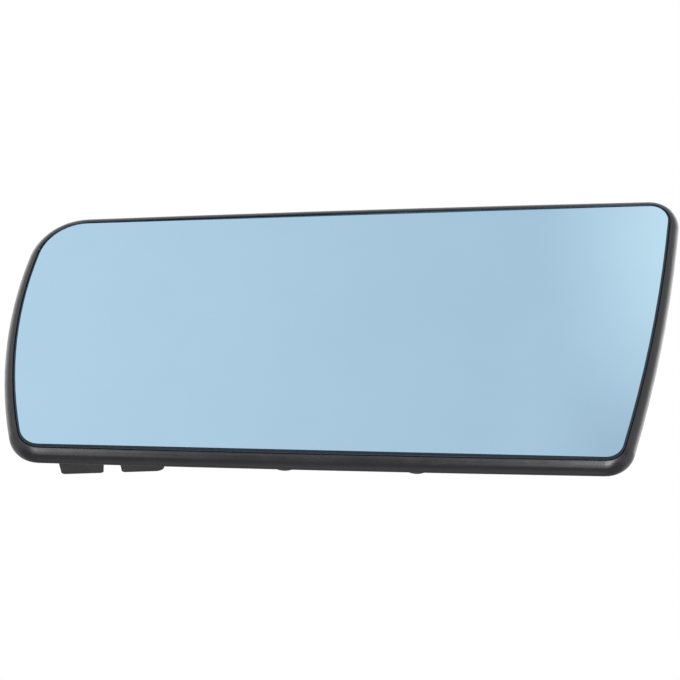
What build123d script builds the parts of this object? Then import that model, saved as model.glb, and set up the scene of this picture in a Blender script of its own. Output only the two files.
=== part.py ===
"""Door mirror glass, left-hand side: a flat tinted mirror bonded into a moulded carrier.

The frame is the one the glass has on the car, seen from its mirror side: X to the right, Y towards the
back, Z up. The origin is the middle of the four stud sockets, on the plane of their mouths. Millimetres.
"""

import os
from math import copysign, cos, radians, sin

from build123d import *

# Carrier outline: its four sharp corners, measured from the middle of the stud sockets
OUTBOARD_REACH = 90.9
INBOARD_TOP_REACH = 93.3
INBOARD_BOTTOM_REACH = 75.1
OUTBOARD_TOP_RISE = 36.75
INBOARD_TOP_RISE = 48.1
BOTTOM_DROP = 42.8

# Carrier outline: bow of its sides and rounding of its corners
OUTBOARD_BOW = 6.5
INBOARD_BOW = 2.3
TOP_BOW = 0.5
BOTTOM_BOW = 0.3
OUTBOARD_TOP_RADIUS = 17.6
OUTBOARD_BOTTOM_RADIUS = 9.2
INBOARD_TOP_RADIUS = 8.2
INBOARD_BOTTOM_RADIUS = 8.7
LEAST_CORNER_RADIUS = 2.0

# Layers from back to front
PLATE_THICKNESS = 2.4
FOIL_THICKNESS = 0.4
GLASS_THICKNESS = 2.0
GLASS_PROUD = 0.4

# Bezel and what lies in it
BEZEL_WIDTH = 2.9
BEZEL_WALL = 0.65
BEZEL_CREST_RADIUS = 0.3
BEZEL_HEEL_CHAMFER = 0.4
GLASS_GAP = 0.12
GLASS_CHAMFER = 0.53
FOIL_MARGIN = 2.5

# Stud sockets
SOCKET_SPACING_X = 36.5
SOCKET_SPACING_Z = 62.0
SOCKET_HEIGHT = 12.0
SOCKET_BORE = 8.0
SOCKET_WALL = 1.6
SOCKET_FLOOR = 2.0
SOCKET_LEAD_IN = 0.5

# Stiffening ribs on the back
RIB_THICKNESS = 1.6
FRAME_RIB_HEIGHT = 6.0
BRACE_RIB_HEIGHT = 4.0
EDGE_RIB_HEIGHT = 3.0
EDGE_RIB_INSET = 8.0

# Retaining spring and its seats
WIRE_DIAMETER = 1.6
WIRE_HEIGHT = 8.0
WIRE_BITE = 0.4
WIRE_CLEARANCE = 0.15
WIRE_TIP_CHAMFER = 0.3
BAR_RISE = 4.5
BAR_BEND = 3.0
LEG_OVERRUN = 6.5
KEEPER_WIDTH = 6.0
KEEPER_WALL = 1.6
KEEPER_MOUTH = 1.4

# Outboard guide fork
FORK_FROM_CORNER = 26.4
FORK_INSET = 2.2
FORK_TILT = 3.7
FORK_OUTBOARD_TINE = 12.65
FORK_INBOARD_TINE = 11.85
FORK_SLOT = 3.9
FORK_FLARE = 1.15
FORK_DEPTH = 8.0
FORK_WALL = 2.2
FORK_TIP_RADIUS = 1.0
FORK_END_RADIUS = 2.5

# Heater terminals and their windows
TERMINAL_FROM_CORNER = 12.3
TERMINAL_DROP = 5.0
TERMINAL_SPACING = 18.0
BLADE_WIDTH = 6.3
BLADE_THICKNESS = 0.8
BLADE_STANDS = 8.0
BLADE_TIP_CHAMFER = 1.2
BLADE_HOLE = 1.7
BLADE_HOLE_FROM_TIP = 3.2
FOOT_LENGTH = 5.5
FOOT_BEND = 0.6
WINDOW_MARGIN = 1.5
WINDOW_RADIUS = 1.0

# Planes of the layers, from the socket mouths forward
plate_back = -SOCKET_HEIGHT
plate_front = plate_back - PLATE_THICKNESS
foil_front = plate_front - FOIL_THICKNESS
bezel_depth = PLATE_THICKNESS + FOIL_THICKNESS + GLASS_THICKNESS - GLASS_PROUD

# Axis of the spring's legs and bar
wire_radius = WIRE_DIAMETER / 2
leg_x = SOCKET_SPACING_X / 2 - SOCKET_BORE / 2 - wire_radius + WIRE_BITE
wire_y = plate_back + WIRE_HEIGHT
bar_z = SOCKET_SPACING_Z / 2 + BAR_RISE
leg_end_z = -SOCKET_SPACING_Z / 2 - LEG_OVERRUN
seat_radius = wire_radius + WIRE_CLEARANCE

# Place of the heater terminals and size of their windows
terminal_x = INBOARD_BOTTOM_REACH - TERMINAL_FROM_CORNER
window_width = BLADE_WIDTH + 2 * WINDOW_MARGIN
window_height = FOOT_LENGTH + 2 * WINDOW_MARGIN


def upright(depth: float) -> Plane:
    """The plane across the part at this Y: local axes X and Z, and a positive extrusion goes forward."""
    return Plane.XZ.offset(-depth)


# Sharp corners of the carrier's outline, with their rounding
top_outboard = (-OUTBOARD_REACH, OUTBOARD_TOP_RISE)
top_inboard = (INBOARD_TOP_REACH, INBOARD_TOP_RISE)
bottom_inboard = (INBOARD_BOTTOM_REACH, -BOTTOM_DROP)
bottom_outboard = (-OUTBOARD_REACH, -BOTTOM_DROP)
corner_radii = {
    top_outboard: OUTBOARD_TOP_RADIUS,
    top_inboard: INBOARD_TOP_RADIUS,
    bottom_inboard: INBOARD_BOTTOM_RADIUS,
    bottom_outboard: OUTBOARD_BOTTOM_RADIUS,
}


def outline(inset: float) -> Sketch:
    """The carrier's outline drawn in by an inset, its corners concentric down to the least radius.

    Args:
        inset: distance inside the carrier's own edge.

    Returns:
        The outline as a face in local X and Z.
    """
    with BuildSketch(mode=Mode.PRIVATE) as drawn:
        with BuildLine():
            SagittaArc(bottom_outboard, top_outboard, OUTBOARD_BOW)
            SagittaArc(top_outboard, top_inboard, TOP_BOW)
            SagittaArc(top_inboard, bottom_inboard, INBOARD_BOW)
            SagittaArc(bottom_inboard, bottom_outboard, BOTTOM_BOW)
        make_face()
        offset(amount=-inset, mode=Mode.REPLACE)
        for corner, radius in corner_radii.items():
            sharp = drawn.vertices().sort_by_distance((*corner, 0))[0]
            fillet(sharp, max(radius - inset, LEAST_CORNER_RADIUS))
    return drawn.sketch_local


# Carrier plate: tray floor, bezel, ribs, sockets, fork and keeper in one moulding
with BuildPart() as carrier_plate:
    # Tray floor, running half way under the bezel
    with BuildSketch(upright(plate_back)):
        add(outline(BEZEL_WIDTH / 2))
    extrude(amount=PLATE_THICKNESS)

    # Bezel: its section carried round the wall of the tray
    with BuildSketch(upright(plate_back), mode=Mode.PRIVATE) as tray_wall:
        add(outline(BEZEL_WIDTH))
    wall_path = tray_wall.sketch.face().outer_wire()
    backward = Vector(0, 1, 0)
    outward = (wall_path % 0).cross(backward)
    if outward.dot(wall_path @ 0) < 0:
        outward = -outward
    with BuildSketch(Plane(wall_path @ 0, x_dir=outward, z_dir=outward.cross(backward))) as bezel_section:
        with BuildLine():
            Line((0, -bezel_depth), (0, 0))
            Line((0, 0), (BEZEL_WIDTH, 0))
            Line((BEZEL_WIDTH, 0), (BEZEL_WIDTH, -BEZEL_WALL))
            TangentArc((BEZEL_WIDTH, -BEZEL_WALL), (0, -bezel_depth), tangent=(0, -1))
        make_face()
        fillet(bezel_section.vertices().sort_by(Axis.Y)[0], BEZEL_CREST_RADIUS)
        heel = bezel_section.vertices().group_by(Axis.Y)[-1].sort_by(Axis.X)[-1]
        chamfer(heel, BEZEL_HEEL_CHAMFER)
    sweep(path=wall_path)

    # Rib along the edge
    with BuildSketch(upright(plate_back)):
        add(outline(EDGE_RIB_INSET))
        add(outline(EDGE_RIB_INSET + RIB_THICKNESS), mode=Mode.SUBTRACT)
    extrude(amount=-EDGE_RIB_HEIGHT)

    # Crossed braces from the sockets to the far corners
    with BuildSketch(upright(plate_back)):
        with BuildLine():
            for x, z in corner_radii:
                Line((copysign(SOCKET_SPACING_X / 2, x), copysign(SOCKET_SPACING_Z / 2, -z)), (x, z))
        trace(line_width=RIB_THICKNESS)
        add(outline(EDGE_RIB_INSET + RIB_THICKNESS / 2), mode=Mode.INTERSECT)
    extrude(amount=-BRACE_RIB_HEIGHT)

    # Frame from socket to socket
    with BuildSketch(upright(plate_back)):
        Rectangle(SOCKET_SPACING_X + RIB_THICKNESS, SOCKET_SPACING_Z + RIB_THICKNESS)
        offset(amount=-RIB_THICKNESS, mode=Mode.SUBTRACT)
    extrude(amount=-FRAME_RIB_HEIGHT)

    # Stud sockets with their bores and lead-ins
    with BuildSketch(upright(plate_back)):
        with GridLocations(SOCKET_SPACING_X, SOCKET_SPACING_Z, 2, 2):
            Circle(SOCKET_BORE / 2 + SOCKET_WALL)
    extrude(amount=-SOCKET_HEIGHT)
    with BuildSketch(upright(0)):
        with GridLocations(SOCKET_SPACING_X, SOCKET_SPACING_Z, 2, 2):
            Circle(SOCKET_BORE / 2)
    extrude(amount=SOCKET_HEIGHT - SOCKET_FLOOR, mode=Mode.SUBTRACT)
    mouth_edges = carrier_plate.edges().group_by(Axis.Y)[-1].group_by(SortBy.RADIUS)[0]
    chamfer(mouth_edges, SOCKET_LEAD_IN)

    # Slots for the spring's legs in the facing sides of the sockets
    with BuildSketch(Plane.XY):
        with Locations((0, wire_y)):
            Rectangle(2 * (leg_x + seat_radius), 2 * seat_radius)
    extrude(amount=SOCKET_SPACING_Z / 2 + SOCKET_BORE, both=True, mode=Mode.SUBTRACT)

    # Keeper for the spring's bar
    with BuildSketch(Plane.YZ):
        with Locations(((plate_back + wire_y + seat_radius) / 2, bar_z)):
            Rectangle(wire_y + seat_radius - plate_back, 2 * (seat_radius + KEEPER_WALL))
        with Locations((wire_y, bar_z)):
            Circle(seat_radius, mode=Mode.SUBTRACT)
            Rectangle(2 * seat_radius, KEEPER_MOUTH, align=(Align.MIN, Align.CENTER), mode=Mode.SUBTRACT)
    extrude(amount=KEEPER_WIDTH / 2, both=True)

    # Guide fork at the outboard lower corner
    fork_along = (cos(radians(FORK_TILT)), 0, sin(radians(FORK_TILT)))
    fork_up = (-sin(radians(FORK_TILT)), 0, cos(radians(FORK_TILT)))
    fork_root = (FORK_FROM_CORNER - OUTBOARD_REACH, plate_back, FORK_INSET - BOTTOM_DROP)
    fork_plane = Plane(fork_root, fork_along, fork_up)
    fork_foot = -PLATE_THICKNESS / 2
    with BuildSketch(fork_plane) as fork_profile:
        Polygon(
            (-FORK_SLOT / 2 - FORK_OUTBOARD_TINE, fork_foot),
            (-FORK_SLOT / 2, fork_foot),
            (-FORK_SLOT / 2 - FORK_FLARE, FORK_DEPTH),
            (-FORK_SLOT / 2 - FORK_OUTBOARD_TINE, FORK_DEPTH),
            align=None,
        )
        Polygon(
            (FORK_SLOT / 2, fork_foot),
            (FORK_SLOT / 2 + FORK_INBOARD_TINE, fork_foot),
            (FORK_SLOT / 2 + FORK_INBOARD_TINE, FORK_DEPTH),
            (FORK_SLOT / 2, FORK_DEPTH),
            align=None,
        )
        tips = fork_profile.vertices().group_by(Axis.Y)[-1].sort_by(Axis.X)
        fillet(tips[:3], FORK_TIP_RADIUS)
        fillet(fork_profile.vertices().group_by(Axis.Y)[-1].sort_by(Axis.X)[-1], FORK_END_RADIUS)
    extrude(amount=FORK_WALL)

    # Windows for the heater terminals, clear of ribs along the whole blade
    with BuildSketch(upright(plate_back + BLADE_STANDS)):
        with Locations((terminal_x, -TERMINAL_DROP)):
            with GridLocations(0, TERMINAL_SPACING, 1, 2):
                RectangleRounded(window_width, window_height, WINDOW_RADIUS)
    extrude(amount=BLADE_STANDS + PLATE_THICKNESS, mode=Mode.SUBTRACT)

# Heating foil on the tray floor
with BuildPart() as heating_foil:
    with BuildSketch(upright(plate_front)):
        add(outline(BEZEL_WIDTH + GLASS_GAP + FOIL_MARGIN))
    extrude(amount=FOIL_THICKNESS)

# Mirror glass on the foil, with its front edge ground
with BuildPart() as mirror_glass:
    with BuildSketch(upright(foil_front)):
        add(outline(BEZEL_WIDTH + GLASS_GAP))
    extrude(amount=GLASS_THICKNESS)
    chamfer(mirror_glass.faces().sort_by(Axis.Y)[0].edges(), GLASS_CHAMFER)

# Retaining spring: one bent wire round the four sockets
with BuildPart() as retaining_spring:
    with BuildLine(upright(wire_y)) as spring_path:
        FilletPolyline(
            (-leg_x, leg_end_z),
            (-leg_x, bar_z),
            (leg_x, bar_z),
            (leg_x, leg_end_z),
            radius=BAR_BEND,
        )
    with BuildSketch(Plane(spring_path.line @ 0, z_dir=spring_path.line % 0)):
        Circle(wire_radius)
    sweep()
    chamfer(retaining_spring.edges().group_by(Axis.Z)[0], WIRE_TIP_CHAMFER)


def heater_terminal(height: float) -> Part:
    """A blade terminal, bent from sheet, with its foot on the foil.

    Args:
        height: Z of the middle of its window.

    Returns:
        The terminal in its place.
    """
    foot_top = height + FOOT_LENGTH / 2
    foot_end = height - FOOT_LENGTH / 2
    blade_tip = plate_back + BLADE_STANDS
    with BuildPart() as terminal:
        with BuildSketch(Plane.YZ.offset(terminal_x)) as bent_sheet:
            with BuildLine():
                Polyline(
                    (plate_front, foot_end),
                    (plate_front, foot_top),
                    (blade_tip, foot_top),
                    (blade_tip, foot_top - BLADE_THICKNESS),
                    (plate_front + BLADE_THICKNESS, foot_top - BLADE_THICKNESS),
                    (plate_front + BLADE_THICKNESS, foot_end),
                    close=True,
                )
            make_face()
            inner_bend = (plate_front + BLADE_THICKNESS, foot_top - BLADE_THICKNESS, 0)
            outer_bend = (plate_front, foot_top, 0)
            fillet(bent_sheet.vertices().sort_by_distance(inner_bend)[0], FOOT_BEND)
            fillet(bent_sheet.vertices().sort_by_distance(outer_bend)[0], FOOT_BEND + BLADE_THICKNESS)
        extrude(amount=BLADE_WIDTH / 2, both=True)
        tip_edges = terminal.faces().sort_by(Axis.Y)[-1].edges().filter_by(Axis.Z)
        chamfer(tip_edges, BLADE_TIP_CHAMFER)
        with Locations(Plane((terminal_x, blade_tip - BLADE_HOLE_FROM_TIP, foot_top))):
            Hole(BLADE_HOLE / 2, BLADE_THICKNESS)
    return terminal.part


pieces = {
    "carrier_plate": carrier_plate.part,
    "heating_foil": heating_foil.part,
    "mirror_glass": mirror_glass.part,
    "retaining_spring": retaining_spring.part,
    "heater_terminal_upper": heater_terminal(TERMINAL_SPACING / 2 - TERMINAL_DROP),
    "heater_terminal_lower": heater_terminal(-TERMINAL_SPACING / 2 - TERMINAL_DROP),
}
os.makedirs("parts", exist_ok=True)
for name, piece in pieces.items():
    piece.label = name
    export_step(piece, f"parts/{name}.step")
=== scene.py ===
"""Looks of the door mirror glass: its finishes, fine detail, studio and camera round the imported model.

Metres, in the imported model's own frame: X to the right as seen from the glass, Y towards the back, Z up.
"""

import logging
import math
from collections.abc import Sequence
from dataclasses import dataclass
from enum import Enum

import bmesh
import bpy
from mathutils import Matrix, Vector


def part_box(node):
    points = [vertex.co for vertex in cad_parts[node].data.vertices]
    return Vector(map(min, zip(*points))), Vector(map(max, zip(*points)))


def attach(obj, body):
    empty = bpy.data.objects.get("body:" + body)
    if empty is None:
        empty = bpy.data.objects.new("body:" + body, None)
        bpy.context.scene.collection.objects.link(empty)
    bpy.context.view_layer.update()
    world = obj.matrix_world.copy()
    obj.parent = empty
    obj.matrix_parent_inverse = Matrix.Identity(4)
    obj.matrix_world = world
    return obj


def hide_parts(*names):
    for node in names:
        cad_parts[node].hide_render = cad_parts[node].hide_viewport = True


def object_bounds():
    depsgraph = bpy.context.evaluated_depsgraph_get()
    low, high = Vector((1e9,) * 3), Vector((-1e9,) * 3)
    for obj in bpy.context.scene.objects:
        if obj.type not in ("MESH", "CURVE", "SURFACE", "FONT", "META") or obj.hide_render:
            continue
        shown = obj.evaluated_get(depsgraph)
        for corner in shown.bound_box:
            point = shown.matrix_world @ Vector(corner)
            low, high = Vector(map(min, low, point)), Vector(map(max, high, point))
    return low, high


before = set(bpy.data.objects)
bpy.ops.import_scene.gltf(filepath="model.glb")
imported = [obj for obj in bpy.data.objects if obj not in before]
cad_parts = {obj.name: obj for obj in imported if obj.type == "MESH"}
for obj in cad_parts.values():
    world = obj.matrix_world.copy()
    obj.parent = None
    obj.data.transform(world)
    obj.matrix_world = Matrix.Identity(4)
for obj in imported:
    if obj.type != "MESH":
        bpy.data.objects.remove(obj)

CAD_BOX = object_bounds()
BODY = "root"
MM = 0.001

Colour = tuple[float, float, float]
Point = tuple[float, float, float]
Socket = bpy.types.NodeSocket
Value = Socket | float | Sequence[float]

BLACK: Colour = (0.0, 0.0, 0.0)
WHITE: Colour = (1.0, 1.0, 1.0)

# radians that a band wave runs through along one metre at a scale of 1
WAVE_RADIANS = 20.0

log = logging.getLogger("door_mirror_glass")


class Slot(Enum):
    """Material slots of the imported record."""

    PLASTIC = "carrier_plastic"
    MIRROR = "mirror_coating"
    FILM = "heater_film"
    STEEL = "spring_steel"
    BRASS = "tinned_brass"


class CadNode(Enum):
    """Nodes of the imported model."""

    CARRIER = "carrier_plate"
    GLASS = "mirror_glass"
    FOIL = "heating_foil"
    SPRING = "retaining_spring"
    UPPER_TERMINAL = "heater_terminal_upper"
    LOWER_TERMINAL = "heater_terminal_lower"


class ShaderGraph:
    """A node tree under construction, with one short call for each kind of node in use."""

    noise_falloff: float = 0.55
    bevel_samples: int = 6

    def __init__(self, tree: bpy.types.NodeTree) -> None:
        """Takes over a tree and empties it.

        Args:
            tree: node tree of a material or of the world.
        """
        self.tree = tree
        tree.nodes.clear()

    def add(self, kind: str, **settings: object) -> bpy.types.Node:
        """Adds a node.

        Args:
            kind: type name of the node.
            settings: properties of the node, by name.

        Returns:
            The new node.
        """
        node = self.tree.nodes.new(kind)
        for name, value in settings.items():
            setattr(node, name, value)
        return node

    def feed(self, target: Socket, value: Value) -> None:
        """Joins a socket to an input, or sets the input if the value is a constant.

        Args:
            target: input socket.
            value: output socket, number or colour.
        """
        if isinstance(value, Socket):
            self.tree.links.new(value, target)
        else:
            target.default_value = value

    def tint(self, target: Socket, colour: Value) -> None:
        """Joins a socket to a colour input, or sets the input to a constant colour."""
        self.feed(target, colour if isinstance(colour, Socket) else (*colour, 1.0))

    def position(self) -> Socket:
        """Place on the part in metres, which stays with the part when it moves."""
        return self.add("ShaderNodeTexCoord").outputs["Object"]

    def along(self, axis: str) -> Socket:
        """One coordinate of the place on the part.

        Args:
            axis: X, Y or Z.

        Returns:
            The coordinate in metres.
        """
        axes = self.add("ShaderNodeSeparateXYZ")
        self.feed(axes.inputs["Vector"], self.position())
        return axes.outputs[axis]

    def stretched(self, scale: Point) -> Socket:
        """Place on the part with each axis scaled, for streaks.

        Args:
            scale: factor along X, Y and Z.

        Returns:
            The scaled place.
        """
        mapping = self.add("ShaderNodeMapping", vector_type="POINT")
        self.feed(mapping.inputs["Vector"], self.position())
        mapping.inputs["Scale"].default_value = scale
        return mapping.outputs["Vector"]

    def noise(self, grain: float, detail: float = 2.0, place: Socket | None = None) -> Socket:
        """Soft noise between about 0.3 and 0.7.

        Args:
            grain: size of its patches in metres.
            detail: octaves of finer noise on top.
            place: coordinates to use in place of the part's own.

        Returns:
            The noise value.
        """
        node = self.add("ShaderNodeTexNoise", noise_dimensions="3D")
        self.feed(node.inputs["Vector"], place or self.position())
        node.inputs["Scale"].default_value = 1.0 / grain
        node.inputs["Detail"].default_value = detail
        node.inputs["Roughness"].default_value = self.noise_falloff
        return node.outputs["Fac"]

    def spread(
        self,
        value: Socket,
        low: float,
        high: float,
        start: float = 0.3,
        end: float = 0.7,
    ) -> Socket:
        """Maps a value smoothly to another range.

        Args:
            value: value to map.
            low: result at start.
            high: result at end.
            start: value that gives low.
            end: value that gives high.

        Returns:
            The mapped value.
        """
        node = self.add("ShaderNodeMapRange", interpolation_type="SMOOTHSTEP", clamp=True)
        self.feed(node.inputs["Value"], value)
        node.inputs["From Min"].default_value = start
        node.inputs["From Max"].default_value = end
        node.inputs["To Min"].default_value = low
        node.inputs["To Max"].default_value = high
        return node.outputs["Result"]

    def math(self, operation: str, first: Value, second: Value = 0.0) -> Socket:
        """Combines two values.

        Args:
            operation: name of the operation, such as ADD or MULTIPLY.
            first: first value or socket.
            second: second value or socket.

        Returns:
            The result.
        """
        node = self.add("ShaderNodeMath", operation=operation)
        self.feed(node.inputs[0], first)
        self.feed(node.inputs[1], second)
        return node.outputs["Value"]

    def blend(self, share: Value, first: Value, second: Value) -> Socket:
        """Mixes two colours.

        Args:
            share: how much of the second colour shows.
            first: first colour or socket.
            second: second colour or socket.

        Returns:
            The mixed colour.
        """
        node = self.add("ShaderNodeMix", data_type="RGBA", clamp_factor=True)
        colours = [socket for socket in node.inputs if socket.type == "RGBA"]
        self.feed(node.inputs["Factor"], share)
        self.tint(colours[0], first)
        self.tint(colours[1], second)
        return next(socket for socket in node.outputs if socket.type == "RGBA")

    def lean(self, share: Socket, first: Socket, second: Socket) -> Socket:
        """Mixes two directions.

        Args:
            share: how much of the second direction counts.
            first: first direction.
            second: second direction.

        Returns:
            The mixed direction.
        """
        node = self.add("ShaderNodeMix", data_type="VECTOR", clamp_factor=True)
        vectors = [socket for socket in node.inputs if socket.type == "VECTOR"]
        self.feed(node.inputs["Factor"], share)
        self.feed(vectors[-2], first)
        self.feed(vectors[-1], second)
        return next(socket for socket in node.outputs if socket.type == "VECTOR")

    def normal(self) -> Socket:
        """Normal of the surface as it is."""
        return self.add("ShaderNodeNewGeometry").outputs["Normal"]

    def rounded(self, radius: float) -> Socket:
        """Normal of the surface with its sharp edges rounded.

        Args:
            radius: radius of the rounding in metres.

        Returns:
            The rounded normal.
        """
        node = self.add("ShaderNodeBevel", samples=self.bevel_samples)
        node.inputs["Radius"].default_value = radius
        return node.outputs["Normal"]

    def edges(self, rounded: Socket, full: float = 0.12) -> Socket:
        """Mask of the edges: 1 on an edge, 0 away from it.

        Args:
            rounded: rounded normal, from which the edges are found.
            full: turn of the normal, as one minus its cosine, that counts as an edge.

        Returns:
            The mask.
        """
        node = self.add("ShaderNodeVectorMath", operation="DOT_PRODUCT")
        self.feed(node.inputs[0], rounded)
        self.feed(node.inputs[1], self.normal())
        return self.spread(node.outputs["Value"], 1.0, 0.0, 1.0 - full, 1.0)

    def outward(self, scale: Point) -> Socket:
        """How far the surface faces away from the middle of the part: from -1, inwards, to 1, outwards.

        Args:
            scale: factor along X, Y and Z that makes the part about as high as it is wide.

        Returns:
            The facing value.
        """
        away = self.add("ShaderNodeVectorMath", operation="NORMALIZE")
        self.feed(away.inputs[0], self.stretched(scale))
        facing = self.add("ShaderNodeVectorMath", operation="DOT_PRODUCT")
        self.feed(facing.inputs[0], away.outputs["Vector"])
        self.feed(facing.inputs[1], self.normal())
        return facing.outputs["Value"]

    def bump(self, height: Socket, depth: float, normal: Socket | None = None) -> Socket:
        """Relief of a height value.

        Args:
            height: height from 0 to 1.
            depth: depth of the relief in metres.
            normal: normal under the relief.

        Returns:
            The normal with the relief on it.
        """
        node = self.add("ShaderNodeBump")
        node.inputs["Strength"].default_value = 1.0
        node.inputs["Distance"].default_value = depth
        self.feed(node.inputs["Height"], height)
        if normal is not None:
            self.feed(node.inputs["Normal"], normal)
        return node.outputs["Normal"]


@dataclass(frozen=True)
class Finish:
    """What all finishes share: a name, and a material made from nodes."""

    name: str

    def material(self) -> bpy.types.Material:
        """Makes the material on its first use.

        Returns:
            The finish as a material.
        """
        found = bpy.data.materials.get(self.name)
        if found is not None:
            return found
        made = bpy.data.materials.new(self.name)
        made.use_nodes = True
        graph = ShaderGraph(made.node_tree)
        surface = graph.add("ShaderNodeBsdfPrincipled")
        self.paint(graph, surface)
        output = graph.add("ShaderNodeOutputMaterial")
        graph.feed(output.inputs["Surface"], surface.outputs["BSDF"])
        return made

    def paint(self, graph: ShaderGraph, surface: bpy.types.Node) -> None:
        """Sets and joins the inputs of the surface shader.

        Args:
            graph: node tree of the material.
            surface: its surface shader.
        """
        raise NotImplementedError


@dataclass(frozen=True)
class MouldedPlastic(Finish):
    """Black moulding: satin in front with painted dark shade and a dimmed reflection on the inner slope,
    matt, grained and darker behind (the darker colour partly painted shade), rubbed edges.
    """

    colour: Colour = (0.0105, 0.0103, 0.0132)
    drift: Colour = (0.0134, 0.0131, 0.0164)
    # matt colour behind: a rougher finish, and partly painted shade that darkens the tongues
    matt: Colour = (0.0036, 0.0036, 0.0041)
    rubbed: Colour = (0.0950, 0.0935, 0.0930)
    smoothest: float = 0.20
    roughest: float = 0.28
    cloud: float = 6.0 * MM
    ior: float = 1.51

    # matt back: how much rougher it is, and the Y where it begins; its darker colour is partly painted
    # shade, which darkens the tongues as if in shadow
    matt_rise: float = 0.32
    matt_from: float = -12.1 * MM
    matt_full: float = -12.0 * MM

    # rubbed edges: their radius, the Y where they begin, and their patches
    edge_radius: float = 0.26 * MM
    rubbed_from: float = -12.7 * MM
    rubbed_full: float = -12.4 * MM
    rub_patch: float = 2.5 * MM
    rub_least: float = 0.1
    rub_most: float = 0.8

    # relief: fine grain with its share in front, and the slow swell of a moulding
    grain: float = 0.45 * MM
    grain_depth: float = 0.012 * MM
    front_grain: float = 0.03
    speckle: float = 0.008
    swell: float = 14.0 * MM
    swell_depth: float = 0.010 * MM

    # inner slope of the bezel, which faces the middle of the part: painted shade, a dark navy tint made
    # metallic so that it reflects less, standing in for the dark gap beside the glass
    slope_painted_shade: Colour = (0.0210, 0.0290, 0.0390)
    slope_full: float = -0.30
    slope_from: float = -0.04
    reach: Point = (10.5, 0.0, 22.0)

    def paint(self, graph: ShaderGraph, surface: bpy.types.Node) -> None:
        """Sets and joins the inputs of the surface shader.

        Args:
            graph: node tree of the material.
            surface: its surface shader.
        """
        rounded = graph.rounded(self.edge_radius)
        patches = graph.noise(self.swell, detail=3.0)
        grain = graph.noise(self.grain)
        behind = graph.spread(graph.along("Y"), 0.0, 1.0, self.matt_from, self.matt_full)
        satin = graph.blend(graph.spread(patches, 0.0, 1.0), self.colour, self.drift)
        # darker colour behind: partly painted shade on the tongues
        body = graph.blend(behind, satin, self.matt)
        handled = graph.spread(graph.along("Y"), 0.0, 1.0, self.rubbed_from, self.rubbed_full)
        worn = graph.spread(graph.noise(self.rub_patch), self.rub_least, self.rub_most)
        uneven = graph.math("MULTIPLY", handled, worn)
        rub = graph.math("MULTIPLY", graph.edges(rounded), uneven)
        # painted shade: the inner slope gets a dark navy colour and is made metallic to dim its reflection
        facing = graph.spread(graph.outward(self.reach), 1.0, 0.0, self.slope_full, self.slope_from)
        slope = graph.math("MULTIPLY", facing, graph.math("SUBTRACT", 1.0, behind))
        moulded = graph.blend(slope, graph.blend(rub, body, self.rubbed), self.slope_painted_shade)
        graph.feed(surface.inputs["Base Color"], moulded)
        graph.feed(surface.inputs["Metallic"], slope)
        cloudy = graph.spread(graph.noise(self.cloud, detail=3.0), self.smoothest, self.roughest)
        speckled = graph.math("ADD", cloudy, graph.spread(grain, -self.speckle, self.speckle))
        eroded = graph.math("MULTIPLY", behind, self.matt_rise)
        graph.feed(surface.inputs["Roughness"], graph.math("ADD", speckled, eroded))
        surface.inputs["IOR"].default_value = self.ior
        shape = graph.lean(behind, graph.normal(), rounded)
        swollen = graph.bump(patches, self.swell_depth, shape)
        relief = graph.math("MULTIPLY", grain, graph.spread(behind, self.front_grain, 1.0, 0.0, 1.0))
        graph.feed(surface.inputs["Normal"], graph.bump(relief, self.grain_depth, swollen))


@dataclass(frozen=True)
class MirrorCoat(Finish):
    """Blue mirror: bright metal with the faintest cloud in its tint and a trace of float-glass ripple."""

    colour: Colour = (0.391, 0.577, 0.736)
    cloud: Colour = (0.382, 0.566, 0.725)
    clearest: float = 0.020
    dullest: float = 0.045
    cloud_size: float = 28.0 * MM
    film_size: float = 9.0 * MM
    ripple: float = 45.0 * MM
    ripple_depth: float = 0.0006 * MM

    def paint(self, graph: ShaderGraph, surface: bpy.types.Node) -> None:
        """Sets and joins the inputs of the surface shader.

        Args:
            graph: node tree of the material.
            surface: its surface shader.
        """
        clouds = graph.noise(self.cloud_size, detail=3.0)
        graph.feed(
            surface.inputs["Base Color"],
            graph.blend(graph.spread(clouds, 0.0, 1.0), self.colour, self.cloud),
        )
        film = graph.noise(self.film_size, detail=4.0)
        graph.feed(surface.inputs["Roughness"], graph.spread(film, self.clearest, self.dullest))
        surface.inputs["Metallic"].default_value = 1.0
        ripple = graph.noise(self.ripple, detail=0.0)
        graph.feed(surface.inputs["Normal"], graph.bump(ripple, self.ripple_depth))


@dataclass(frozen=True)
class GroundEdge(Finish):
    """Ground edge of the blue glass: dark navy bevel with fine grinding marks, and painted light down its
    side that lifts the shade in the seam under the bezel.
    """

    colour: Colour = (0.046, 0.073, 0.106)
    marks: Colour = (0.061, 0.095, 0.134)
    side: Colour = (0.185, 0.258, 0.342)
    side_from: float = -16.35 * MM
    side_full: float = -16.20 * MM
    smoothest: float = 0.18
    roughest: float = 0.32
    grit: float = 0.22 * MM
    grit_depth: float = 0.004 * MM
    grit_run: Point = (0.25, 1.0, 0.25)
    ior: float = 1.52
    specular: float = 0.10

    def paint(self, graph: ShaderGraph, surface: bpy.types.Node) -> None:
        """Sets and joins the inputs of the surface shader.

        Args:
            graph: node tree of the material.
            surface: its surface shader.
        """
        grit = graph.noise(self.grit, place=graph.stretched(self.grit_run))
        ground = graph.blend(graph.spread(grit, 0.0, 1.0), self.colour, self.marks)
        deep = graph.spread(graph.along("Y"), 0.0, 1.0, self.side_from, self.side_full)
        # painted light: the side face is lighter to lift the shade in the seam under the bezel
        graph.feed(surface.inputs["Base Color"], graph.blend(deep, ground, self.side))
        graph.feed(surface.inputs["Roughness"], graph.spread(grit, self.smoothest, self.roughest))
        surface.inputs["IOR"].default_value = self.ior
        surface.inputs["Specular IOR Level"].default_value = self.specular
        graph.feed(surface.inputs["Normal"], graph.bump(grit, self.grit_depth))


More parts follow.
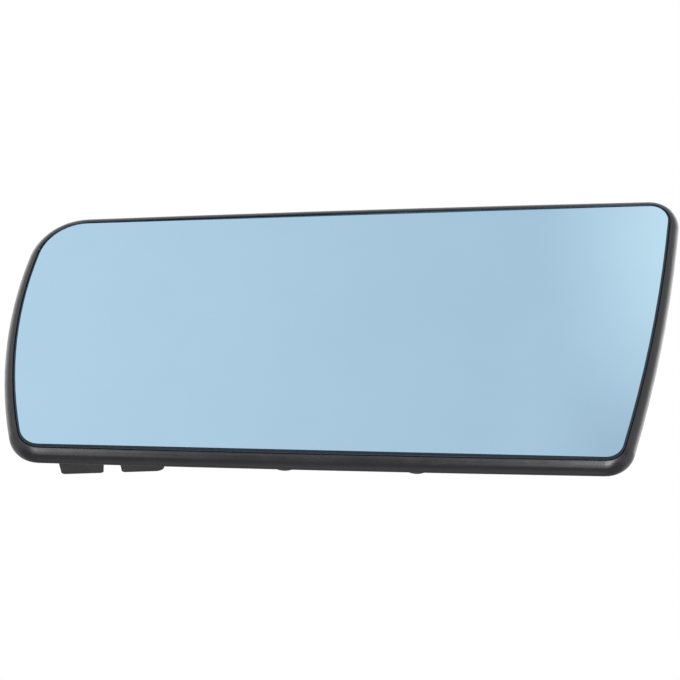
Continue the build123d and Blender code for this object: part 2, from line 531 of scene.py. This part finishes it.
@dataclass(frozen=True)
class HeaterFilm(Finish):
    """Dark polyester film with printed heater tracks that shimmer through it."""

    colour: Colour = (0.020, 0.017, 0.014)
    track: Colour = (0.060, 0.045, 0.032)
    pitch: float = 2.2 * MM
    track_depth: float = 0.03 * MM
    track_from: float = 0.45
    track_full: float = 0.60
    blotch: float = 1.5 * MM
    smoothest: float = 0.42
    roughest: float = 0.58

    def paint(self, graph: ShaderGraph, surface: bpy.types.Node) -> None:
        """Sets and joins the inputs of the surface shader.

        Args:
            graph: node tree of the material.
            surface: its surface shader.
        """
        wave = graph.add("ShaderNodeTexWave", wave_type="BANDS", bands_direction="X")
        graph.feed(wave.inputs["Vector"], graph.position())
        wave.inputs["Scale"].default_value = math.tau / (WAVE_RADIANS * self.pitch)
        tracks = graph.spread(wave.outputs["Fac"], 0.0, 1.0, self.track_from, self.track_full)
        graph.feed(surface.inputs["Base Color"], graph.blend(tracks, self.colour, self.track))
        blotches = graph.noise(self.blotch, detail=3.0)
        graph.feed(surface.inputs["Roughness"], graph.spread(blotches, self.smoothest, self.roughest))
        graph.feed(surface.inputs["Normal"], graph.bump(tracks, self.track_depth))


@dataclass(frozen=True)
class DrawnSteel(Finish):
    """Drawn spring wire: fine streaks along its run and a dull bloom in places."""

    colour: Colour = (0.40, 0.40, 0.41)
    bloom: Colour = (0.23, 0.225, 0.22)
    smoothest: float = 0.24
    roughest: float = 0.40
    streak: float = 0.16 * MM
    streak_depth: float = 0.003 * MM
    leg_run: Point = (1.0, 1.0, 0.04)
    bar_run: Point = (0.04, 1.0, 1.0)
    bar_height: float = 32.0 * MM
    bloom_size: float = 5.0 * MM
    bloom_most: float = 0.8
    bloom_from: float = 0.42
    bloom_full: float = 0.68

    def paint(self, graph: ShaderGraph, surface: bpy.types.Node) -> None:
        """Sets and joins the inputs of the surface shader.

        Args:
            graph: node tree of the material.
            surface: its surface shader.
        """
        legs = graph.noise(self.streak, place=graph.stretched(self.leg_run))
        bar = graph.noise(self.streak, place=graph.stretched(self.bar_run))
        on_bar = graph.math("GREATER_THAN", graph.along("Z"), self.bar_height)
        along_bar = graph.math("MULTIPLY", bar, on_bar)
        along_legs = graph.math("MULTIPLY", legs, graph.math("SUBTRACT", 1.0, on_bar))
        streaks = graph.math("ADD", along_bar, along_legs)
        blooms = graph.noise(self.bloom_size, detail=3.0)
        dull = graph.spread(blooms, 0.0, self.bloom_most, self.bloom_from, self.bloom_full)
        graph.feed(surface.inputs["Base Color"], graph.blend(dull, self.colour, self.bloom))
        graph.feed(surface.inputs["Roughness"], graph.spread(streaks, self.smoothest, self.roughest))
        surface.inputs["Metallic"].default_value = 1.0
        graph.feed(surface.inputs["Normal"], graph.bump(streaks, self.streak_depth))


@dataclass(frozen=True)
class TinnedBrass(Finish):
    """Tin-plated brass sheet: cloudy plating, brass showing along the sheared edges."""

    plating: Colour = (0.66, 0.645, 0.60)
    cloud: Colour = (0.52, 0.50, 0.45)
    brass: Colour = (0.70, 0.49, 0.20)
    smoothest: float = 0.26
    roughest: float = 0.44
    edge_radius: float = 0.10 * MM
    cloud_size: float = 1.4 * MM
    bare_size: float = 0.7 * MM
    bare_least: float = 0.2
    rolling: float = 0.12 * MM
    rolling_run: Point = (1.0, 0.1, 1.0)
    rolling_depth: float = 0.002 * MM

    def paint(self, graph: ShaderGraph, surface: bpy.types.Node) -> None:
        """Sets and joins the inputs of the surface shader.

        Args:
            graph: node tree of the material.
            surface: its surface shader.
        """
        rounded = graph.rounded(self.edge_radius)
        clouds = graph.noise(self.cloud_size, detail=4.0)
        plated = graph.blend(graph.spread(clouds, 0.0, 1.0), self.plating, self.cloud)
        sheared = graph.edges(rounded)
        worn = graph.spread(graph.noise(self.bare_size), self.bare_least, 1.0)
        bare = graph.math("MULTIPLY", sheared, worn)
        graph.feed(surface.inputs["Base Color"], graph.blend(bare, plated, self.brass))
        graph.feed(surface.inputs["Roughness"], graph.spread(clouds, self.smoothest, self.roughest))
        surface.inputs["Metallic"].default_value = 1.0
        rolling = graph.noise(self.rolling, place=graph.stretched(self.rolling_run))
        graph.feed(surface.inputs["Normal"], graph.bump(rolling, self.rolling_depth, rounded))


@dataclass(frozen=True)
class Solder(Finish):
    """Solder frozen at a terminal's foot: bright, a little lumpy, dulled by flux."""

    colour: Colour = (0.60, 0.60, 0.61)
    flux: Colour = (0.30, 0.27, 0.20)
    flux_most: float = 0.6
    flux_from: float = 0.45
    flux_full: float = 0.70
    smoothest: float = 0.18
    roughest: float = 0.42
    lump: float = 0.8 * MM
    lump_depth: float = 0.03 * MM

    def paint(self, graph: ShaderGraph, surface: bpy.types.Node) -> None:
        """Sets and joins the inputs of the surface shader.

        Args:
            graph: node tree of the material.
            surface: its surface shader.
        """
        lumps = graph.noise(self.lump, detail=3.0)
        stain = graph.spread(lumps, 0.0, self.flux_most, self.flux_from, self.flux_full)
        graph.feed(surface.inputs["Base Color"], graph.blend(stain, self.colour, self.flux))
        graph.feed(surface.inputs["Roughness"], graph.spread(lumps, self.smoothest, self.roughest))
        surface.inputs["Metallic"].default_value = 1.0
        graph.feed(surface.inputs["Normal"], graph.bump(lumps, self.lump_depth))


def dress(node: CadNode, finish: Finish) -> None:
    """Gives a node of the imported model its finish.

    Args:
        node: node to dress.
        finish: its finish.
    """
    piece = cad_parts[node.value]
    piece.data.materials.clear()
    piece.data.materials.append(finish.material())
    log.info("dressed %s in %s", node.value, finish.name)


def add_piece(name: str, work: bmesh.types.BMesh, slot: Slot, *finishes: Finish) -> bpy.types.Object:
    """Adds a new piece to the part.

    Args:
        name: name of the piece.
        work: its mesh, which is freed.
        slot: material slot of the record; not used.
        finishes: finishes of its faces, by material index.

    Returns:
        The piece, riding on the part.
    """
    mesh = bpy.data.meshes.new(name)
    work.to_mesh(mesh)
    work.free()
    for finish in finishes:
        mesh.materials.append(finish.material())
    piece = bpy.data.objects.new(name, mesh)
    bpy.context.scene.collection.objects.link(piece)
    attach(piece, BODY)
    log.info("built %s: %d faces", name, len(mesh.polygons))
    return piece


def skin(work: bmesh.types.BMesh, rings: Sequence[Sequence[bmesh.types.BMVert]]) -> None:
    """Joins closed rings of points, one to the next, with smooth faces.

    Args:
        work: mesh that the points are in.
        rings: rings with as many points each.
    """
    for first, second in zip(rings, rings[1:]):
        for index in range(len(first)):
            after = (index + 1) % len(first)
            face = work.faces.new((first[index], first[after], second[after], second[index]))
            face.smooth = True
    bmesh.ops.recalc_face_normals(work, faces=work.faces)


@dataclass
class Carrier:
    """The black carrier, with the marks that moulding leaves on its back."""

    plastic: MouldedPlastic
    back: float = -12.0 * MM
    pin_places: Sequence[tuple[float, float]] = (
        (-50.0 * MM, 23.0 * MM),
        (-50.0 * MM, -26.0 * MM),
        (-75.0 * MM, -2.0 * MM),
        (-27.0 * MM, -1.0 * MM),
        (0.0 * MM, 21.0 * MM),
        (0.0 * MM, -21.0 * MM),
        (28.0 * MM, -1.0 * MM),
        (52.0 * MM, 28.0 * MM),
        (47.0 * MM, -27.0 * MM),
        (73.0 * MM, 13.0 * MM),
    )
    pin_radius: float = 2.2 * MM

    # flash round a pin: reach past the pin's edge and height, both in thicknesses of the flash
    flash: float = 0.12 * MM
    flash_section: Sequence[tuple[float, float]] = ((1.0, 0.0), (0.3, 1.0), (-0.3, 1.0), (-1.0, 0.2))
    disc_share: float = 0.5
    disc_level: float = 0.1

    # gate stub: radius and height of its rings, in radii and heights of the gate, then its torn top
    gate_place: tuple[float, float] = (0.0, 0.0)
    gate_radius: float = 1.4 * MM
    gate_height: float = 0.7 * MM
    gate_section: Sequence[tuple[float, float]] = ((1.35, 0.0), (1.08, 0.12), (1.0, 0.45))
    torn_rim: float = 0.92
    torn_core: float = 0.45
    core_level: float = 0.8
    torn_mean: float = 0.82
    torn_wave: float = 0.12
    torn_waves: int = 3
    torn_ripple: float = 0.06
    torn_ripples: int = 7
    steps: int = 40

    def build(self) -> None:
        """Dresses the carrier and adds the marks of pins and gate."""
        dress(CadNode.CARRIER, self.plastic)
        self.add_pin_marks()
        self.add_gate()

    def ring(
        self,
        work: bmesh.types.BMesh,
        place: tuple[float, float],
        radius: float,
        heights: Sequence[float],
    ) -> list[bmesh.types.BMVert]:
        """Adds a ring of points round a place on the back.

        Args:
            work: mesh to add to.
            place: X and Z of its middle.
            radius: its radius.
            heights: how far each point stands behind the back.

        Returns:
            The points in order.
        """
        points = []
        for index, height in enumerate(heights):
            angle = math.tau * index / len(heights)
            x = place[0] + radius * math.cos(angle)
            z = place[1] + radius * math.sin(angle)
            points.append(work.verts.new((x, self.back + height, z)))
        return points

    def add_pin_marks(self) -> None:
        """Builds the rings that the ejector pins leave: a thin flash round a flat disc."""
        section = []
        for reach, height in self.flash_section:
            section.append((self.pin_radius + reach * self.flash, height * self.flash))
        section.append((self.disc_share * self.pin_radius, self.disc_level * self.flash))
        work = bmesh.new()
        for place in self.pin_places:
            rings = [self.ring(work, place, radius, [height] * self.steps) for radius, height in section]
            skin(work, rings)
            work.faces.new(rings[-1])
        bmesh.ops.recalc_face_normals(work, faces=work.faces)
        add_piece("ejector_marks", work, Slot.PLASTIC, self.plastic)

    def torn_heights(self) -> list[float]:
        """Works out the torn rim of the gate stub: long waves with finer ripples on them.

        Returns:
            The height of the rim at each of its points.
        """
        heights = []
        for index in range(self.steps):
            angle = math.tau * index / self.steps
            wave = self.torn_wave * math.sin(self.torn_waves * angle)
            ripple = self.torn_ripple * math.cos(self.torn_ripples * angle)
            heights.append(self.gate_height * (self.torn_mean + wave + ripple))
        return heights

    def add_gate(self) -> None:
        """Builds the stub where the sprue was broken off, with its torn top."""
        torn = self.torn_heights()
        core = [self.core_level * height for height in torn]
        work = bmesh.new()
        rings = []
        for share, level in self.gate_section:
            heights = [level * self.gate_height] * self.steps
            rings.append(self.ring(work, self.gate_place, share * self.gate_radius, heights))
        rings.append(self.ring(work, self.gate_place, self.torn_rim * self.gate_radius, torn))
        rings.append(self.ring(work, self.gate_place, self.torn_core * self.gate_radius, core))
        skin(work, rings)
        work.faces.new(rings[-1])
        bmesh.ops.recalc_face_normals(work, faces=work.faces)
        add_piece("gate_stub", work, Slot.PLASTIC, self.plastic)


@dataclass
class Spring:
    """The wire that locks the studs in their sockets."""

    steel: DrawnSteel

    def build(self) -> None:
        """Dresses the wire."""
        dress(CadNode.SPRING, self.steel)


@dataclass
class Mirror:
    """The blue mirror, with its ground edge set off from the coated face."""

    coat: MirrorCoat
    ground: GroundEdge
    weld: float = 0.002 * MM
    flat: float = 0.999

    # degrees: bends that are taken as flat, and bends that stay sharp
    flat_bend: float = 0.5
    sharp_bend: float = 30.0

    def build(self) -> bpy.types.Object:
        """Builds the pane from the glass solid and gives face and edge their finishes.

        Returns:
            The pane, which stands for the glass solid.
        """
        work = bmesh.new()
        work.from_mesh(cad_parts[CadNode.GLASS.value].data)
        bmesh.ops.remove_doubles(work, verts=work.verts, dist=self.weld)
        bend = math.radians(self.flat_bend)
        bmesh.ops.dissolve_limit(work, angle_limit=bend, verts=work.verts, edges=work.edges)
        work.normal_update()
        for face in work.faces:
            coated = face.normal.y < -self.flat
            face.material_index = 0 if coated else 1
            face.smooth = abs(face.normal.y) < self.flat
        for edge in work.edges:
            edge.smooth = edge.calc_face_angle(0.0) < math.radians(self.sharp_bend)
        pane = add_piece("mirror_pane", work, Slot.MIRROR, self.coat, self.ground)
        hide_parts(CadNode.GLASS.value)
        return pane


@dataclass
class Heater:
    """Heater film, its two blade terminals and the solder at their feet."""

    film: HeaterFilm
    brass: TinnedBrass
    solder: Solder
    solder_reach: float = 0.9 * MM
    solder_height: float = 0.7 * MM
    steps: int = 8

    def build(self) -> None:
        """Dresses film and terminals and adds the solder."""
        dress(CadNode.FOIL, self.film)
        for node in (CadNode.UPPER_TERMINAL, CadNode.LOWER_TERMINAL):
            dress(node, self.brass)
            self.add_solder(node)

    def add_solder(self, node: CadNode) -> None:
        """Builds the solder that has crept up round a terminal's foot.

        Args:
            node: the terminal.
        """
        low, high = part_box(node.value)
        film_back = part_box(CadNode.FOIL.value)[1].y
        centre = Vector(((low.x + high.x) / 2, film_back, (low.z + high.z) / 2))
        half_x = (high.x - low.x) / 2
        half_z = (high.z - low.z) / 2
        work = bmesh.new()
        rings = []
        for step in range(self.steps + 1):
            share = step / self.steps
            reach = self.solder_reach * (1.0 - share)
            height = self.solder_height * share * share
            rings.append(self.ring(work, centre, half_x + reach, half_z + reach, reach, height))
        skin(work, rings)
        add_piece(f"solder_{node.value}", work, Slot.BRASS, self.solder)

    def ring(
        self,
        work: bmesh.types.BMesh,
        centre: Vector,
        half_x: float,
        half_z: float,
        corner: float,
        height: float,
    ) -> list[bmesh.types.BMVert]:
        """Adds the points of a rounded rectangle round the foot.

        Args:
            work: mesh to add to.
            centre: middle of the foot on the film.
            half_x: half its width.
            half_z: half its height.
            corner: radius of its corners.
            height: how far behind the film it lies.

        Returns:
            The points in order.
        """
        points = []
        for quarter in range(4):
            for step in range(self.steps + 1):
                angle = (quarter + step / self.steps) * math.pi / 2
                side_x = 1.0 if quarter in (0, 3) else -1.0
                side_z = 1.0 if quarter in (0, 1) else -1.0
                x = side_x * (half_x - corner) + corner * math.cos(angle)
                z = side_z * (half_z - corner) + corner * math.sin(angle)
                points.append(work.verts.new(centre + Vector((x, height, z))))
        return points


@dataclass(frozen=True)
class SoftBox:
    """A soft lamp, round or oval."""

    name: str
    place: Point
    width: float
    height: float
    watts: float

    def light(self, aim: Vector, shaded: bpy.types.Collection) -> None:
        """Hangs the lamp and turns it to the part.

        Args:
            aim: point that it shines at.
            shaded: pieces that are flagged off from it.
        """
        data = bpy.data.lights.new(self.name, "AREA")
        data.shape = "ELLIPSE"
        data.size = self.width
        data.size_y = self.height
        data.energy = self.watts
        lamp = bpy.data.objects.new(self.name, data)
        lamp.location = self.place
        lamp.rotation_mode = "QUATERNION"
        lamp.rotation_quaternion = (aim - Vector(self.place)).to_track_quat("-Z", "Y")
        lamp.visible_camera = False
        lamp.light_linking.receiver_collection = shaded
        bpy.context.scene.collection.objects.link(lamp)
        log.info("hung lamp %s", self.name)


@dataclass(frozen=True)
class StudioGlow:
    """A soft brighter or dimmer patch of the studio, as light and reflections see it."""

    towards: Point
    spread: float
    gain: Colour


# name, place, width and height in metres, watts
LAMPS = (
    SoftBox("right_strip_box", (0.19, -0.44, -0.21), 0.14, 0.44, 1.25),
    SoftBox("right_low_box", (0.19, -0.36, -0.46), 0.22, 0.36, 0.44),
    SoftBox("left_strip_box", (-0.22, -0.45, -0.18), 0.14, 0.40, 0.56),
    SoftBox("left_low_box", (-0.24, -0.38, -0.44), 0.22, 0.36, 0.36),
    SoftBox("right_rear_box", (0.72, 0.42, 0.52), 0.80, 0.80, 2.2),
    SoftBox("left_rear_box", (-0.74, 0.30, 0.54), 0.70, 0.70, 0.9),
    SoftBox("low_rear_box", (0.00, 0.28, -0.67), 0.46, 0.46, 0.14),
    SoftBox("back_box", (0.00, 0.90, 0.10), 1.40, 0.90, 1.5),
)

# direction, spread in degrees, what it adds to the walls
GLOWS = (
    StudioGlow((-0.460, -0.741, 0.489), 29.8, (0.20, 0.18, 0.14)),
    StudioGlow((0.214, -0.792, 0.572), 9.6, (0.49, 0.45, 0.31)),
    StudioGlow((0.200, -0.880, 0.430), 9.7, (-0.28, -0.27, -0.25)),
    StudioGlow((0.000, -0.420, 0.907), 30.0, (-0.85, -0.82, -0.74)),
    StudioGlow((0.760, -0.640, 0.020), 18.0, (-0.60, -0.60, -0.58)),
    StudioGlow((-0.540, -0.650, 0.530), 18.0, (0.60, 0.60, 0.60)),
)


@dataclass
class Studio:
    """Pale floor, white backdrop and soft light."""

    lamps: Sequence[SoftBox]
    glows: Sequence[StudioGlow]
    floor_height: float = -0.80
    floor_half: float = 4.0
    floor_cells: int = 8
    floor_colour: Colour = (0.54, 0.54, 0.54)
    shown_floor: Colour = (0.88, 0.88, 0.88)
    mottle_size: float = 0.05
    mottle_least: float = 0.99
    fade_start: float = 0.80
    fade_end: float = 2.40
    wall_level: float = 0.97
    light_level: float = 0.72

    def build(self, aim: Vector, mirror: bpy.types.Object) -> None:
        """Sets up floor, lamps and world.

        Args:
            aim: middle of the part.
            mirror: piece that the lamps would glare in.
        """
        self.lay_floor()
        shaded = bpy.data.collections.new("flagged_off")
        shaded.objects.link(mirror)
        shaded.collection_objects[0].light_linking.link_state = "EXCLUDE"
        for lamp in self.lamps:
            lamp.light(aim, shaded)
        self.paint_world()

    def lay_floor(self) -> None:
        """Lays the floor, which fades into the backdrop far from the part."""
        work = bmesh.new()
        bmesh.ops.create_grid(
            work, x_segments=self.floor_cells, y_segments=self.floor_cells, size=self.floor_half
        )
        mesh = bpy.data.meshes.new("studio_floor")
        work.to_mesh(mesh)
        work.free()
        floor = bpy.data.objects.new("studio_floor", mesh)
        floor.location.z = self.floor_height
        bpy.context.scene.collection.objects.link(floor)
        made = bpy.data.materials.new("pale_floor")
        made.use_nodes = True
        graph = ShaderGraph(made.node_tree)
        mottle = graph.spread(graph.noise(self.mottle_size, detail=4.0), self.mottle_least, 1.0)
        matt = graph.add("ShaderNodeBsdfDiffuse")
        rays = graph.add("ShaderNodeLightPath").outputs
        pale = graph.blend(rays["Is Camera Ray"], self.floor_colour, self.shown_floor)
        graph.feed(matt.inputs["Color"], graph.blend(mottle, BLACK, pale))
        backdrop = graph.add("ShaderNodeEmission")
        away = graph.add("ShaderNodeVectorMath", operation="LENGTH")
        graph.feed(away.inputs[0], graph.position())
        fade = graph.spread(away.outputs["Value"], 0.0, 1.0, self.fade_start, self.fade_end)
        seen = graph.math("MULTIPLY", fade, self.seen_rays(graph))
        shown = graph.add("ShaderNodeMixShader")
        graph.feed(shown.inputs[0], seen)
        graph.feed(shown.inputs[1], matt.outputs["BSDF"])
        graph.feed(shown.inputs[2], backdrop.outputs["Emission"])
        output = graph.add("ShaderNodeOutputMaterial")
        graph.feed(output.inputs["Surface"], shown.outputs["Shader"])
        mesh.materials.append(made)
        log.info("laid floor at %.2f m", self.floor_height)

    def seen_rays(self, graph: ShaderGraph) -> Socket:
        """1 for rays that show the backdrop as it is: seen directly, in a reflection or through glass.

        Args:
            graph: node tree to add to.

        Returns:
            The mask.
        """
        rays = graph.add("ShaderNodeLightPath").outputs
        mirrored = graph.math("MAXIMUM", rays["Is Glossy Ray"], rays["Is Transmission Ray"])
        return graph.math("MAXIMUM", rays["Is Camera Ray"], mirrored)

    def paint_world(self) -> None:
        """Paints the world: white to the camera, soft walls with bright and dim patches to the part."""
        world = bpy.data.worlds.new("studio_world")
        bpy.context.scene.world = world
        world.use_nodes = True
        graph = ShaderGraph(world.node_tree)
        rays = graph.add("ShaderNodeLightPath").outputs
        shade = graph.blend(rays["Is Camera Ray"], self.wall_light(graph), WHITE)
        background = graph.add("ShaderNodeBackground")
        graph.feed(background.inputs["Color"], shade)
        strength = graph.spread(self.seen_rays(graph), self.light_level, 1.0, 0.0, 1.0)
        graph.feed(background.inputs["Strength"], strength)
        output = graph.add("ShaderNodeOutputWorld")
        graph.feed(output.inputs["Surface"], background.outputs["Background"])
        log.info("painted world with %d glows", len(self.glows))

    def wall_light(self, graph: ShaderGraph) -> Value:
        """Brightness of the studio's walls with their glows.

        Args:
            graph: node tree of the world.

        Returns:
            The brightness in the direction of the ray.
        """
        direction = graph.add("ShaderNodeTexCoord").outputs["Generated"]
        total: Value = (self.wall_level, self.wall_level, self.wall_level)
        for glow in self.glows:
            nearness = graph.add("ShaderNodeVectorMath", operation="DOT_PRODUCT")
            graph.feed(nearness.inputs[0], direction)
            nearness.inputs[1].default_value = Vector(glow.towards).normalized()
            edge = math.cos(math.radians(glow.spread))
            lit = graph.add("ShaderNodeVectorMath", operation="MULTIPLY_ADD")
            graph.feed(lit.inputs[0], graph.spread(nearness.outputs["Value"], 0.0, 1.0, edge, 1.0))
            lit.inputs[1].default_value = glow.gain
            graph.feed(lit.inputs[2], total)
            total = lit.outputs["Vector"]
        return total


@dataclass
class PhotoView:
    """Camera at the photo's viewing angle: from below the glass normal, turned a little about it."""

    target: Point = (-3.77 * MM, -16.8 * MM, -4.02 * MM)
    distance: float = 583.3 * MM

    # degrees
    azimuth: float = 1.3
    elevation: float = -32.66
    turn: float = 2.28

    # focal length and picture width in pixels, sensor width in millimetres
    focal_pixels: float = 2100.0
    image_pixels: float = 680.0
    sensor: float = 36.0

    def build(self) -> None:
        """Sets up the camera."""
        around = math.radians(self.azimuth)
        above = math.radians(self.elevation)
        level = math.cos(above)
        back = Vector((level * math.sin(around), -level * math.cos(around), math.sin(above)))
        right = Vector((0.0, 0.0, 1.0)).cross(back).normalized()
        up = back.cross(right)
        turn = Matrix.Rotation(-math.radians(self.turn), 3, "Y")
        axes = Matrix((turn @ right, turn @ up, turn @ back)).transposed()
        data = bpy.data.cameras.new("photo_camera")
        data.sensor_width = self.sensor
        data.lens = self.focal_pixels / self.image_pixels * self.sensor
        camera = bpy.data.objects.new("photo_camera", data)
        place = Vector(self.target) + axes.col[2] * self.distance
        camera.matrix_world = Matrix.Translation(place) @ axes.to_4x4()
        bpy.context.scene.collection.objects.link(camera)
        bpy.context.scene.camera = camera
        log.info("camera at %.3f, %.3f, %.3f", *place)


def main() -> None:
    """Sets up the camera, dresses the part piece by piece, then sets up the studio."""
    logging.basicConfig(level=logging.INFO, format="%(name)s: %(message)s")
    bpy.context.scene.view_settings.view_transform = "Standard"
    PhotoView().build()
    Carrier(MouldedPlastic("black_moulding")).build()
    pane = Mirror(MirrorCoat("blue_mirror_coat"), GroundEdge("ground_glass_edge")).build()
    Heater(HeaterFilm("heater_film"), TinnedBrass("tinned_brass"), Solder("solder")).build()
    Spring(DrawnSteel("drawn_spring_steel")).build()
    middle = (CAD_BOX[0] + CAD_BOX[1]) / 2
    Studio(LAMPS, GLOWS).build(middle, pane)


if __name__ == "__main__":
    main()
